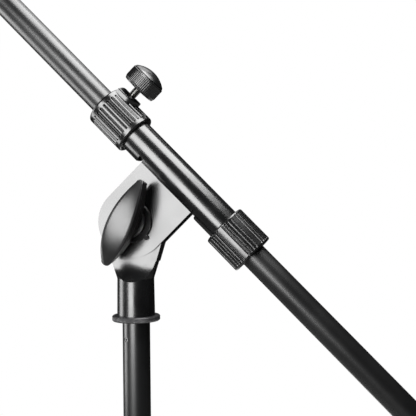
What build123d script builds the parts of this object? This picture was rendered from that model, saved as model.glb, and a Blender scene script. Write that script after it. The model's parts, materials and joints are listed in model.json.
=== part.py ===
from build123d import *
from math import asin, cos, radians, sin, sqrt, tan
import os

# Boom microphone stand. Millimetres, +Z up. The origin is on the floor, on the mast's axis.
# The boom lies in the XZ plane: its microphone end points to -X and up, its tail to +X and down.
# The wing handle of the boom clamp is on the -Y side.

# ---- Driving sizes ---------------------------------------------------------------------------

# Whole stand
pivot_height = 1100.0        # boom pivot above the floor
boom_angle = 45.6            # boom below the horizontal on its tail side, degrees
boom_offset = 44.8           # boom axis above the pivot, square to the boom
boom_tail = 300.0            # pivot to the tail end of the boom tube, along the boom

# Tubes
boom_tube_r = 9.5
boom_tube_wall = 1.2
upper_tube_r = 10.0
upper_tube_wall = 1.2
upper_tube_length = 620.0
lower_tube_r = 12.5
lower_tube_wall = 1.4
lower_tube_length = 590.0
leg_tube_r = 8.0
leg_tube_wall = 1.0

# Clearances
running = 0.06               # radial, a shaft in its hole
gap = 0.3                    # faces of pieces that move past each other
face_gap = 0.05              # flat faces that turn against each other
press = 0.02                 # radial, a moulded ring pushed into its seat
past = 100.0                 # how far a cutter runs past what it cuts

# Tripod base
leg_count = 3
leg_drop = 20.0              # legs below the horizontal, degrees
leg_length = 325.0           # hinge pin to the end of the leg tube
leg_pin_circle = 31.0        # mast axis to hinge pin
leg_pin_r = 3.0
hub_r = 21.5
hub_height = 66.0
hub_arm_reach = 46.0         # mast axis to the outer end of the hub's arms
hub_arm_height = 30.0
hub_cheek = 4.0
hub_roof = 5.0
leg_shoulder = 12.0          # hinge pin to the end of the leg tube at the hub
leg_spigot = 24.0
leg_side_gap = 0.2           # knuckle to the hub's cheek
pin_stand_out = 0.8          # leg pin beyond the cheek
plug_rim = 2.0
plug_rim_height = 3.0
plug_depth = 20.0
foot_wall = 4.0
foot_length = 42.0
foot_end = 9.0               # rubber beyond the end of the leg tube
foot_sink = 5.0              # how much of the round boot is cut away flat
foot_round = 5.0
foot_lip = 1.5
tube_tail = 16.0             # lower tube below the hub
hub_knob_r = 15.0
hub_knob_height = 18.0
hub_knob_stem = 12.0
hub_knob_neck_r = 9.0
hub_knob_neck = 4.0
hub_knob_taper = 2.0
hub_knob_rim = 3.0
hub_lobes = 8
hub_lobe_r = 4.0
hub_lobe_depth = 1.8
hub_screw_turn = -60.0       # direction of the clamping screw about the mast, degrees
hub_boss_r = 10.0
hub_boss_reach = 31.0
hub_screw_r = 4.0

# Height clutch
clutch_base_r = 17.0
clutch_base_length = 38.0
clutch_neck_r = 15.2
clutch_neck_length = 16.0
clutch_step = 12.0           # shoulder of the clutch collar below the lower tube's top
clutch_bevel = 2.0
clutch_nut_taper = 6.0
clutch_nut_slope = 4.0
clutch_ribs = 24
clutch_nut_r = 19.5
clutch_nut_length = 34.0
clutch_nut_lip = 4.0
collet_slit = 2.0
collet_flange = 5.0
glide_length = 24.0
glide_spigot = 20.0

# Mast top: stud, jam nut and swivel
stud_r = 4.76                # 3/8 inch thread
stud_plug = 24.0
stud_grip = 18.0             # thread inside the swivel
stud_end_room = 2.0          # swivel's bore beyond the stud
jam_nut_r = 17.5
jam_nut_height = 3.8
jam_nut_bevel = 0.5
socket_bottom = 67.9         # swivel's foot below the pivot
socket_foot_r = 13.75
socket_top_r = 13.4
flare_start = 41.0           # socket starts to widen this far below the pivot
flare_angle = 17.5           # degrees
scoop_start = 28.5           # flat tongue ends this far below the pivot
scoop_height = 14.4          # tongue's face to the scoop's rim on the socket
tongue_r = 25.0
tongue_thickness = 11.5
tongue_round = 0.7
set_screw_r = 1.7
set_screw_drop = 13.0        # below the top of the upper tube
set_screw_turn = -122.5      # direction of the set screw about the mast, degrees
set_screw_sink = 0.4

# Boom clamp and pivot
sheet = 1.8
sleeve_r = 12.5
sleeve_back = 58.0           # pivot to the sleeve's end towards the microphone
sleeve_front = 64.0          # pivot to the sleeve's end towards the tail
ear_half_width = 25.4
ear_neck = 1.2               # bend radius where an ear leaves the sleeve
relief = 3.8                 # notch between an ear and the closed sleeve
relief_corner = 2.0          # rounding of the closed sleeve at the notch
washer_r = 20.0
washer_thickness = 0.7
bolt_r = 4.0
bolt_head_r = 9.5
bolt_head_height = 4.0
bolt_hole_gap = 0.2
flange_r = 15.0
flange_thickness = 2.2
flange_bevel = 0.6
flange_tab_r = 1.7
flange_tab_out = 0.6         # tab's centre beyond the washer's rim
flange_tab_turn = -46.8      # direction of the tab from the X axis, degrees

# Wing handle
wing_half_length = 32.4
wing_half_width = 9.0
wing_tip_r = 3.0
wing_turn = 24.5             # long axis from the vertical towards +X, degrees
wing_depth = 19.0            # back face to the front face at the tips
wing_crown = 8.0             # front face higher at the middle than at the tips
wing_hub_r = 11.0
wing_hub_height = 1.8
wing_hub_sink = 3.0          # hub inside the bar
insert_r = 6.5
insert_length = 12.0

# Rear collar with its thumb screw
collar_r = 16.0
collar_back = 76.6
collar_front = 43.9
collar_boss_r = 8.8
collar_boss_top = 18.8       # boom axis to the top of the boss
flutes = 26
flute_turn = 3.0             # first flute about the boom, degrees
flute_r = 1.2
flute_depth = 1.0
flute_end = 4.0              # smooth rim at each end of the flutes
thumb_screw_r = 3.0
thumb_screw_back = 66.6
thumb_knob_r = 13.5
thumb_knob_low = 25.2        # boom axis to the knob's underside
thumb_knob_height = 12.0
thumb_knob_dome = 4.5
thumb_knob_taper = 2.0
thumb_knob_shoulder = 5.0    # rim of the dome to the knob's side
thumb_ribs = 60
thumb_rib_r = 0.45
thumb_rib_depth = 0.35
collar_insert_r = 4.2
collar_insert_length = 5.0
collar_insert_sink = 1.0     # brass below the boss's top

# Twist collar
twist_r = 16.5
twist_start = 47.6
twist_end = 77.4
twist_lip = 4.0
twist_groups = 8             # broad lands, with narrow ribs between them
twist_turn = 7.8             # first broad land about the boom, degrees
twist_first_cut = 8.7        # middle of a land to the first cut, degrees
twist_cut_step = 9.2         # from one cut to the next, degrees
twist_cuts = 4               # cuts between two lands
twist_cut_r = 0.65

# Liners and boom ends
liner_length = 26.0
cap_wall = 1.6
cap_length = 22.0
cap_end = 3.0
tip_plug = 22.0
tip_flange = 5.0
tip_round = 2.0
mic_thread_length = 12.0
mic_shank_r = 4.2            # smooth part of the thread piece, inside the fitting
mic_shank_sink = 4.0         # shank short of the plug's end
rib_r = 0.9                  # rounding of the cuts between two ribs
rib_depth = 0.5
edge = 1.3                   # softened rim of a moulded knob or collar

# ---- Derived places --------------------------------------------------------------------------

bottom_up = (Align.CENTER, Align.CENTER, Align.MIN)
foot_r = leg_tube_r + foot_wall
foot_tip = leg_length + foot_end
hub_pin_height = foot_tip * sin(radians(leg_drop)) + foot_r * cos(radians(leg_drop)) - foot_sink
hub_bottom = hub_pin_height - hub_arm_height / 2
hub_top = hub_bottom + hub_height
hub_screw_height = hub_top - hub_boss_r
hub_slot = 2 * leg_tube_r + 2 * gap
lower_tube_bottom = hub_bottom - tube_tail
lower_tube_top = lower_tube_bottom + lower_tube_length
upper_tube_top = pivot_height - socket_bottom - jam_nut_height - 2 * face_gap
upper_tube_bottom = upper_tube_top - upper_tube_length
ear_inside = tongue_thickness / 2 + washer_thickness + face_gap
ear_outside = ear_inside + sheet
flange_top = ear_outside + flange_thickness
wing_back = flange_top + face_gap + wing_hub_height
wing_front = wing_back + wing_depth
sleeve_bore = sleeve_r - sheet
clutch_neck_top = lower_tube_top + clutch_neck_length - clutch_step
every_flute = [flute_turn + 360 / flutes * number for number in range(flutes)]
every_thumb_rib = [360 / thumb_ribs * number for number in range(thumb_ribs)]
every_clutch_rib = [360 / clutch_ribs * number for number in range(clutch_ribs)]
every_hub_lobe = [360 / hub_lobes * number for number in range(hub_lobes)]
every_twist_cut = [
    twist_turn + 360 / twist_groups * group + twist_first_cut + twist_cut_step * number
    for group in range(twist_groups) for number in range(twist_cuts)]

# ---- Shapes that repeat ----------------------------------------------------------------------

# The slit that splits a collet's ring, from the collet's lower face up
collet_cut = Pos(0, 0, -gap) * Box(past, collet_slit, past, align=(Align.MIN, Align.CENTER, Align.MIN))


def disc(radius, low, high):
    """A round bar along Z from low to high."""
    return Pos(0, 0, low) * Cylinder(radius, high - low, align=bottom_up)


def ring(outer, inner, low, high):
    """A tube along Z from low to high."""
    return disc(outer, low, high) - disc(inner, low - past, high + past)


def turned(*outline):
    """A solid turned about Z from an outline of (radius, height) points."""
    face = make_face(Plane.XZ * Polyline(*outline, close=True))
    return revolve(face, Axis.Z)


def fluted(solid, radius, turns, cutter_r, depth, low, high):
    """The solid with grooves along Z at the given turns, cut to a depth below the radius."""
    cutter = Pos(radius + cutter_r - depth, 0, 0) * disc(cutter_r, low, high)
    return solid - [Rot(0, 0, turn) * cutter for turn in turns]


def across(solid):
    """Turn a piece built along Z to lie along the pivot, Z towards -Y and Y upwards."""
    return Rot(90, 0, 0) * solid


def at_pivot(solid):
    """Place a piece at the pivot, upright with the mast."""
    return Pos(0, 0, pivot_height) * solid


def on_boom(solid):
    """Place a piece at the pivot, tilted with the boom."""
    return Pos(0, 0, pivot_height) * Rot(0, boom_angle, 0) * solid


def along_boom(solid):
    """Place a piece built along Z on the boom's axis, Z towards the tail."""
    return on_boom(Pos(0, 0, boom_offset) * Rot(0, 90, 0) * solid)


def above_boom(solid):
    """Place a piece built along Z at the thumb screw, Z away from the boom's axis."""
    return on_boom(Pos(-thumb_screw_back, 0, boom_offset) * solid)


def round_leg(number, solid):
    """Turn a piece built over the +X axis to the place of the numbered leg."""
    return Rot(0, 0, (number - 1) * 360 / leg_count) * solid


def at_hub_screw(solid):
    """Place a piece built along Z at the hub's screw, Z away from the mast's axis."""
    return Pos(0, 0, hub_screw_height) * Rot(0, 0, hub_screw_turn) * Rot(0, 90, 0) * solid


def on_leg(number, solid):
    """Place a piece built along Z on the numbered leg, Z from the hinge pin to the foot."""
    hinge = Pos(leg_pin_circle, 0, hub_pin_height) * Rot(0, 90 + leg_drop, 0)
    return round_leg(number, hinge * solid)


# ---- Tripod base -----------------------------------------------------------------------------


def base_hub():
    """Cast hub: a boss on the mast, three forked arms for the legs and a boss for the screw."""
    hub = disc(hub_r, hub_bottom, hub_top)
    fall = tan(radians(leg_drop))

    def roof_at(reach, thickness):
        """Height of a line above the leg, parallel to it, at a distance from the mast's axis."""
        above = (leg_tube_r + gap + thickness) / cos(radians(leg_drop))
        return hub_pin_height + above - (reach - leg_pin_circle) * fall

    arm_face = make_face(Plane.XZ * Polyline(
        (0, hub_bottom), (hub_arm_reach, hub_bottom), (hub_arm_reach, roof_at(hub_arm_reach, hub_roof)),
        (0, roof_at(0, hub_roof)), close=True))
    slot_inside = leg_pin_circle - leg_tube_r - gap
    slot_end = hub_arm_reach + hub_roof
    slot_low = hub_bottom - hub_roof
    slot_face = make_face(Plane.XZ * Polyline(
        (slot_inside, slot_low), (slot_end, slot_low), (slot_end, roof_at(slot_end, 0)),
        (slot_inside, roof_at(slot_inside, 0)), close=True))
    arm_width = hub_slot + 2 * hub_cheek
    arm = extrude(arm_face, arm_width / 2, both=True)
    arm = fillet(arm.edges().filter_by(Axis.Y).group_by(Axis.X)[-1], hub_cheek)
    slot = extrude(slot_face, hub_slot / 2, both=True)
    pin_hole = Pos(leg_pin_circle, 0, hub_pin_height) * Rot(90, 0, 0) * Cylinder(leg_pin_r, 2 * arm_width)
    for number in range(1, leg_count + 1):
        hub += round_leg(number, arm)
    for number in range(1, leg_count + 1):
        hub -= round_leg(number, slot + pin_hole)
    hub += at_hub_screw(disc(hub_boss_r, 0, hub_boss_reach))
    hub -= at_hub_screw(disc(hub_screw_r + running, 0, 2 * hub_boss_reach))
    return hub - disc(lower_tube_r + running, hub_bottom - past, hub_top + past)


def hub_screw():
    """Steel clamping screw, its tip just clear of the lower tube."""
    screw = disc(hub_screw_r, lower_tube_r + gap, hub_boss_reach + hub_knob_stem)
    return at_hub_screw(screw)


def hub_knob():
    """Moulded knob on the hub's screw."""
    low = hub_boss_reach + gap
    high = low + hub_knob_height
    knob = turned((0, low), (hub_knob_neck_r, low), (hub_knob_neck_r, low + hub_knob_neck),
                  (hub_knob_r, low + hub_knob_neck + hub_knob_taper), (hub_knob_r, high - hub_knob_taper),
                  (hub_knob_r - hub_knob_rim, high), (0, high))
    knob = fluted(knob, hub_knob_r, every_hub_lobe, hub_lobe_r, hub_lobe_depth, low, high)
    knob -= disc(hub_screw_r, 0, hub_boss_reach + hub_knob_stem)
    return at_hub_screw(knob)


def leg_pins():
    """Three steel hinge pins, one through each arm of the hub."""
    pin = Pos(leg_pin_circle, 0, hub_pin_height) * across(
        Cylinder(leg_pin_r, hub_slot + 2 * hub_cheek + 2 * pin_stand_out))
    return Compound([round_leg(number, pin) for number in range(1, leg_count + 1)])


def leg_knuckle(number):
    """Moulded eye that plugs into the leg tube and turns on the hinge pin."""
    eye = Rot(90, 0, 0) * Cylinder(leg_tube_r, 2 * leg_tube_r - 2 * leg_side_gap)
    spigot = disc(leg_tube_r - leg_tube_wall, 0, leg_spigot)
    shoulder = disc(leg_tube_r, 0, leg_shoulder)
    knuckle = eye + spigot + shoulder
    knuckle -= Rot(90, 0, 0) * Cylinder(leg_pin_r + running, 4 * leg_tube_r)
    return on_leg(number, knuckle)


def leg_tube(number):
    """Steel tube from the knuckle's shoulder to inside the rubber foot."""
    return on_leg(number, ring(leg_tube_r, leg_tube_r - leg_tube_wall, leg_shoulder, leg_length))


def rubber_foot(number):
    """Rubber boot over the leg's end, with a flat under it."""
    boot = turned((0, leg_length), (leg_tube_r, leg_length), (leg_tube_r, foot_tip - foot_length),
                  (foot_r - foot_lip, foot_tip - foot_length), (foot_r, foot_tip - foot_length + foot_round),
                  (foot_r, foot_tip - foot_round), (foot_r - foot_round, foot_tip), (0, foot_tip))
    below_floor = Box(4 * leg_length, 4 * leg_length, foot_r,
                      align=(Align.CENTER, Align.CENTER, Align.MAX))
    return on_leg(number, boot) - below_floor


# ---- Mast ------------------------------------------------------------------------------------


def lower_tube():
    return ring(lower_tube_r, lower_tube_r - lower_tube_wall, lower_tube_bottom, lower_tube_top)


def lower_tube_plug():
    """Moulded plug in the lower tube's foot. Its rim stops the hub from sliding off."""
    rim = disc(lower_tube_r + plug_rim, lower_tube_bottom - plug_rim_height, lower_tube_bottom)
    return rim + disc(lower_tube_r - lower_tube_wall, lower_tube_bottom, lower_tube_bottom + plug_depth)


def clutch_base():
    """Collar fixed on the lower tube, with a neck for the twist nut."""
    low = lower_tube_top - clutch_base_length
    step = lower_tube_top - clutch_step
    collar = turned((0, low), (clutch_base_r - clutch_bevel, low), (clutch_base_r, low + clutch_bevel),
                    (clutch_base_r, step), (clutch_neck_r, step), (clutch_neck_r, clutch_neck_top),
                    (0, clutch_neck_top))
    return collar - disc(lower_tube_r, low - past, clutch_neck_top + past)


def mast_collet():
    """Split ring in the neck, squeezed on to the upper tube by the nut."""
    collet = ring(lower_tube_r - press, upper_tube_r + running, lower_tube_top, clutch_neck_top)
    collet += ring(clutch_neck_r - 1, upper_tube_r + running, clutch_neck_top, clutch_neck_top + collet_flange)
    return collet - Pos(0, 0, lower_tube_top) * collet_cut


def clutch_nut():
    """Ribbed twist nut of the height clutch."""
    low = lower_tube_top - clutch_step + gap
    high = low + clutch_nut_length
    rim = high - clutch_nut_taper
    seat = clutch_neck_top + collet_flange + face_gap
    nut = turned((clutch_neck_r + running, low), (clutch_nut_r - edge, low), (clutch_nut_r, low + edge),
                 (clutch_nut_r, rim), (clutch_nut_r - clutch_nut_slope, high), (upper_tube_r + gap, high),
                 (upper_tube_r + gap, seat + clutch_nut_lip), (clutch_neck_r - 2, seat),
                 (clutch_neck_r + running, seat))
    return fluted(nut, clutch_nut_r, every_clutch_rib, rib_r, rib_depth, low, rim)


def mast_glide():
    """Moulded slider that the upper tube turns on, running inside the lower tube."""
    slider = disc(lower_tube_r - lower_tube_wall - running, upper_tube_bottom - glide_length,
                  upper_tube_bottom - face_gap)
    spigot = disc(upper_tube_r - upper_tube_wall - running, upper_tube_bottom - glide_length,
                  upper_tube_bottom + glide_spigot)
    return slider + spigot


def set_screw_place(solid):
    """Place a piece built along Z at the set screw, Z away from the mast's axis."""
    return Pos(0, 0, upper_tube_top - set_screw_drop) * Rot(0, 0, set_screw_turn) * Rot(0, 90, 0) * solid


def upper_tube():
    tube = ring(upper_tube_r, upper_tube_r - upper_tube_wall, upper_tube_bottom, upper_tube_top)
    return tube - set_screw_place(disc(set_screw_r, 0, 2 * upper_tube_r))


def top_stud():
    """Turned plug in the upper tube with the thread that carries the swivel."""
    plug = disc(upper_tube_r - upper_tube_wall, upper_tube_top - stud_plug, upper_tube_top)
    thread = disc(stud_r, upper_tube_top, pivot_height - socket_bottom + stud_grip)
    return plug + thread - set_screw_place(disc(set_screw_r, upper_tube_r / 2, 2 * upper_tube_r))


def set_screw():
    return set_screw_place(disc(set_screw_r, upper_tube_r / 2, upper_tube_r - set_screw_sink))


def jam_nut():
    """Round knurled nut that locks the swivel on its stud."""
    low = upper_tube_top + face_gap
    nut = disc(jam_nut_r, low, low + jam_nut_height)
    nut = chamfer(nut.edges().filter_by(GeomType.CIRCLE), jam_nut_bevel)
    return nut - disc(stud_r + running, low - past, low + past)


def swivel_base():
    """Cast swivel: a round socket on the stud that widens into the flat tongue of the pivot."""
    scoop_top_r = socket_top_r + (flare_start - scoop_start) * tan(radians(flare_angle))
    socket = turned((0, -socket_bottom), (socket_foot_r, -socket_bottom), (socket_top_r, -flare_start),
                    (scoop_top_r, -scoop_start), (0, -scoop_start))
    face_out = tongue_thickness / 2
    scoop_out = socket_top_r - face_out
    scoop_r = (scoop_out ** 2 + scoop_height ** 2) / (2 * scoop_out)
    swing = asin(scoop_height / scoop_r)
    low, middle = [(face_out + scoop_r - scoop_r * cos(turn), -scoop_start - scoop_r * sin(turn))
                   for turn in (swing, swing / 2)]
    far = 2 * socket_foot_r
    wall = Polyline((face_out, -scoop_start), (face_out, 0), (far, 0), (far, low[1]), low)
    scoop = make_face(Plane.YZ * (wall + ThreePointArc(low, middle, (face_out, -scoop_start))))
    scoop = extrude(scoop, far, both=True)
    socket -= scoop + mirror(scoop, Plane.XZ)
    root = Pos(0, -scoop_start) * Rectangle(2 * scoop_top_r, 0.2)
    tongue = extrude(make_hull((Circle(tongue_r) + root).edges()), face_out, both=True)
    tongue = fillet(tongue.edges().group_by(SortBy.LENGTH)[-1], tongue_round)
    body = socket + across(tongue)
    body -= disc(stud_r, -socket_bottom - past, stud_grip + stud_end_room - socket_bottom)
    return at_pivot(body - across(Cylinder(bolt_r + running, past)))


def friction_washers():
    """Two fibre washers, one on each side of the tongue."""
    washer = ring(washer_r, bolt_r + gap, 0, washer_thickness)
    pair = [across(Pos(0, 0, side) * washer)
            for side in (tongue_thickness / 2, -tongue_thickness / 2 - washer_thickness)]
    return at_pivot(Compound(pair))


# ---- Boom clamp ------------------------------------------------------------------------------


def boom_clamp():
    """One steel sheet rolled into the sleeve, its two ears hanging on either side of the tongue."""
    tube = Pos(0, 0, boom_offset) * Rot(0, 90, 0) * disc(sleeve_r, -sleeve_back, sleeve_front)
    neck = boom_offset - sqrt(sleeve_bore ** 2 - ear_outside ** 2)
    ear_outline = Circle(ear_half_width) + Rectangle(
        2 * ear_half_width, neck, align=(Align.CENTER, Align.MIN))
    body = tube + across(extrude(ear_outline, ear_outside, both=True))
    underside = boom_offset - sleeve_r
    notch = Rectangle(relief, neck, align=(Align.MIN, Align.MIN)) + Pos(relief, underside) * Rectangle(
        2 * relief_corner, 2 * relief_corner)
    notch -= Pos(relief + relief_corner, underside + relief_corner) * Circle(relief_corner)
    notch = across(extrude(Pos(ear_half_width, 0) * notch, 2 * sleeve_r, both=True))
    body -= notch
    body -= mirror(notch, Plane.YZ)
    bends = [line for line in body.edges().filter_by(Axis.X)
             if abs(abs(line.center().Y) - ear_outside) < face_gap and line.length > ear_half_width]
    body = fillet(bends, ear_neck)
    body -= Pos(0, 0, boom_offset) * Box(
        2 * ear_half_width, 2 * ear_inside, 2 * boom_offset, align=(Align.CENTER, Align.CENTER, Align.MAX))
    body -= Pos(0, 0, boom_offset) * Rot(0, 90, 0) * disc(sleeve_bore, -2 * sleeve_back, 2 * sleeve_front)
    body -= across(disc(bolt_r + gap, 0, 2 * ear_outside))
    square = Pos(0, ear_outside, 0) * Box(2 * bolt_r, 2 * sheet, 2 * bolt_r)
    return on_boom(body - square)


def pivot_bolt():
    """Carriage bolt: domed head on the far ear, square neck in it, thread in the wing handle."""
    head = turned((0, -ear_outside), (bolt_head_r, -ear_outside), (bolt_head_r, -ear_outside - 1),
                  (bolt_head_r - 2.5, -ear_outside - 3), (0, -ear_outside - bolt_head_height))
    square = Pos(0, 0, -ear_outside + sheet / 2) * Box(2 * bolt_r, 2 * bolt_r, sheet)
    shank = disc(bolt_r, -ear_outside, wing_back + insert_length)
    return on_boom(across(head + square + shank))


def flange_washer():
    """Plain washer under the wing handle, with a small locating tab on its rim."""
    washer = disc(flange_r, ear_outside, flange_top)
    washer = chamfer(washer.edges().group_by(Axis.Z)[-1], flange_bevel)
    tab = Rot(0, 0, flange_tab_turn) * Pos(flange_r + flange_tab_out, 0, 0) * disc(
        flange_tab_r, ear_outside, flange_top)
    return at_pivot(across(washer + tab - disc(bolt_r + bolt_hole_gap, 0, past)))


def wing_outline():
    """Lens-shaped outline with rounded tips, its long axis along Y."""
    side = ThreePointArc((wing_tip_r, wing_half_length - wing_tip_r), (wing_half_width, 0),
                         (wing_tip_r, wing_tip_r - wing_half_length))
    foot = ThreePointArc((wing_tip_r, wing_tip_r - wing_half_length), (0, -wing_half_length),
                         (-wing_tip_r, wing_tip_r - wing_half_length))
    return make_face(side + foot + mirror(side, Plane.YZ) + mirror(foot, Plane.XZ))


def wing_handle():
    """Moulded bar across the bolt with a face that is crowned from tip to tip."""
    bar = extrude(Pos(0, 0, wing_back) * wing_outline(), wing_depth + wing_crown)
    crown_r = (wing_half_length ** 2 + wing_crown ** 2) / (2 * wing_crown)
    crown = Pos(0, 0, wing_front + wing_crown - crown_r) * Rot(0, 90, 0) * Cylinder(crown_r, past)
    bar &= crown
    hub_face = wing_back - wing_hub_height
    bar += disc(wing_hub_r, hub_face, wing_back + wing_hub_sink)
    bar -= disc(insert_r, hub_face - past, hub_face + insert_length)
    bar -= disc(bolt_r + gap, wing_back, wing_back + insert_length + 1)
    return at_pivot(across(Rot(0, 0, -wing_turn) * bar))


def wing_insert():
    """Brass nut moulded into the wing handle's hub."""
    low = wing_back - wing_hub_height
    return at_pivot(across(ring(insert_r, bolt_r + running, low, low + insert_length)))


def rear_collar():
    """Fluted collar pressed on the sleeve's end, with the boss of the thumb screw."""
    body = turned((0, -collar_back), (collar_r - edge, -collar_back), (collar_r, edge - collar_back),
                  (collar_r, -collar_front - edge), (collar_r - edge, -collar_front), (0, -collar_front))
    body = fluted(body, collar_r, every_flute, flute_r, flute_depth,
                  flute_end - collar_back, -collar_front - flute_end)
    boss = Pos(-thumb_screw_back, 0, 0) * (
        disc(collar_boss_r, 0, 2 * collar_boss_top) + Box(
            collar_back - thumb_screw_back - edge, 2 * collar_boss_r, 2 * collar_boss_top,
            align=(Align.MAX, Align.CENTER, Align.MIN)))
    boss &= Rot(0, 90, 0) * disc(collar_boss_top, -collar_back, 0)
    body = Rot(0, 90, 0) * body + boss
    body -= Rot(0, 90, 0) * disc(sleeve_r, -sleeve_back, 0)
    body -= Rot(0, 90, 0) * disc(boom_tube_r + gap, -past, 0)
    pocket = disc(collar_insert_r, collar_boss_top - collar_insert_sink - collar_insert_length, past)
    body -= Pos(-thumb_screw_back, 0, 0) * (pocket + disc(thumb_screw_r + gap, 0, past))
    return on_boom(Pos(0, 0, boom_offset) * body)


def collar_insert():
    """Brass threaded insert in the rear collar's boss."""
    high = collar_boss_top - collar_insert_sink
    return above_boom(ring(collar_insert_r, thumb_screw_r + running, high - collar_insert_length, high))


def thumb_screw():
    """Plated steel screw, its tip just clear of the boom tube."""
    return above_boom(disc(thumb_screw_r, boom_tube_r + gap, thumb_knob_low + thumb_knob_height / 2))


def thumb_knob():
    """Round ribbed knob with a domed top."""
    high = thumb_knob_low + thumb_knob_height
    knob = turned((0, thumb_knob_low), (thumb_knob_r - thumb_knob_taper, thumb_knob_low),
                  (thumb_knob_r, thumb_knob_low + thumb_knob_taper), (thumb_knob_r, high - 1),
                  (thumb_knob_r - 1, high),
                  (thumb_knob_r - thumb_knob_shoulder, high + 0.6 * thumb_knob_dome),
                  (0, high + thumb_knob_dome))
    knob = fluted(knob, thumb_knob_r, every_thumb_rib, thumb_rib_r, thumb_rib_depth, thumb_knob_low, high)
    return above_boom(knob - disc(thumb_screw_r, 0, thumb_knob_low + thumb_knob_height / 2))


def rear_liner():
    """Moulded bush in the sleeve, towards the microphone."""
    return along_boom(ring(sleeve_bore, boom_tube_r + running, -sleeve_back, liner_length - sleeve_back))


def front_liner():
    """Moulded bush in the sleeve, towards the tail, behind the collet."""
    high = twist_start - gap
    return along_boom(ring(sleeve_bore, boom_tube_r + running, high - liner_length, high))


def boom_collet():
    """Split ring in the sleeve's end, squeezed on to the boom tube by the twist collar."""
    flange_end = twist_end - twist_lip - face_gap
    collet = ring(sleeve_bore - running, boom_tube_r + running, twist_start, flange_end)
    collet += ring(sleeve_r - gap, boom_tube_r + running, sleeve_front + face_gap, flange_end)
    return along_boom(collet - Pos(0, 0, twist_start) * collet_cut)


def twist_collar():
    """Ribbed collar that turns on the sleeve's end and closes the collet."""
    body = turned((0, twist_start), (twist_r - edge, twist_start), (twist_r, twist_start + edge),
                  (twist_r, twist_end - edge), (twist_r - edge, twist_end), (0, twist_end))
    body = fluted(body, twist_r, every_twist_cut, twist_cut_r, rib_depth, twist_start, twist_end)
    body -= disc(sleeve_r + running, 0, twist_end - twist_lip)
    return along_boom(body - disc(boom_tube_r + gap, 0, twist_end + past))


# ---- Boom ------------------------------------------------------------------------------------


def boom_reach():
    """Pivot to the microphone end, so that it stands over the floor as far out as the feet."""
    foot_reach = rubber_foot(1).bounding_box().max.X
    along = cos(radians(boom_angle))
    rise = sin(radians(boom_angle))
    return (foot_reach + boom_offset * rise - stud_r * rise) / along


def boom_pieces():
    """The boom tube, its tail cap, its tip fitting and the microphone thread."""
    thread_end = -boom_reach()
    flange_start = thread_end + mic_thread_length
    tube_start = flange_start + tip_flange
    tube = ring(boom_tube_r, boom_tube_r - boom_tube_wall, tube_start, boom_tail)
    cap = disc(boom_tube_r + cap_wall, boom_tail - cap_length + cap_end, boom_tail + cap_end)
    cap = chamfer(cap.edges().group_by(Axis.Z)[-1], cap_wall)
    cap -= disc(boom_tube_r, 0, boom_tail)
    fitting = turned((0, flange_start), (boom_tube_r - tip_round, flange_start),
                     (boom_tube_r, flange_start + tip_round),
                     (boom_tube_r, tube_start), (boom_tube_r - boom_tube_wall, tube_start),
                     (boom_tube_r - boom_tube_wall, tube_start + tip_plug), (0, tube_start + tip_plug))
    shank_end = tube_start + tip_plug - mic_shank_sink
    fitting -= disc(mic_shank_r, flange_start - past, shank_end)
    thread = disc(stud_r, thread_end, flange_start) + disc(mic_shank_r, flange_start, shank_end)
    return {"boom_tube": along_boom(tube), "boom_end_cap": along_boom(cap),
            "tip_fitting": along_boom(fitting), "mic_thread": along_boom(thread)}


# ---- Write every piece -----------------------------------------------------------------------

pieces = {
    "base_hub": base_hub(), "hub_screw": hub_screw(), "hub_knob": hub_knob(), "leg_pins": leg_pins(),
    "lower_tube": lower_tube(), "lower_tube_plug": lower_tube_plug(), "clutch_base": clutch_base(),
    "mast_collet": mast_collet(), "clutch_nut": clutch_nut(), "mast_glide": mast_glide(),
    "upper_tube": upper_tube(), "top_stud": top_stud(), "set_screw": set_screw(), "jam_nut": jam_nut(),
    "swivel_base": swivel_base(), "friction_washers": friction_washers(), "boom_clamp": boom_clamp(),
    "pivot_bolt": pivot_bolt(), "flange_washer": flange_washer(), "wing_handle": wing_handle(),
    "wing_insert": wing_insert(), "rear_collar": rear_collar(), "collar_insert": collar_insert(),
    "thumb_screw": thumb_screw(), "thumb_knob": thumb_knob(), "rear_liner": rear_liner(),
    "front_liner": front_liner(), "boom_collet": boom_collet(), "twist_collar": twist_collar(),
}
pieces.update(boom_pieces())
for leg in range(1, leg_count + 1):
    pieces[f"leg_knuckle_{leg}"] = leg_knuckle(leg)
    pieces[f"leg_tube_{leg}"] = leg_tube(leg)
    pieces[f"rubber_foot_{leg}"] = rubber_foot(leg)

os.makedirs("parts", exist_ok=True)
for name, piece in pieces.items():
    export_step(piece, f"parts/{name}.step")
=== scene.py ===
import json
from math import atan2, ceil, cos, hypot, pi, radians, sin, sqrt, tan

import bmesh
import bpy
from mathutils import Matrix, Vector


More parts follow.
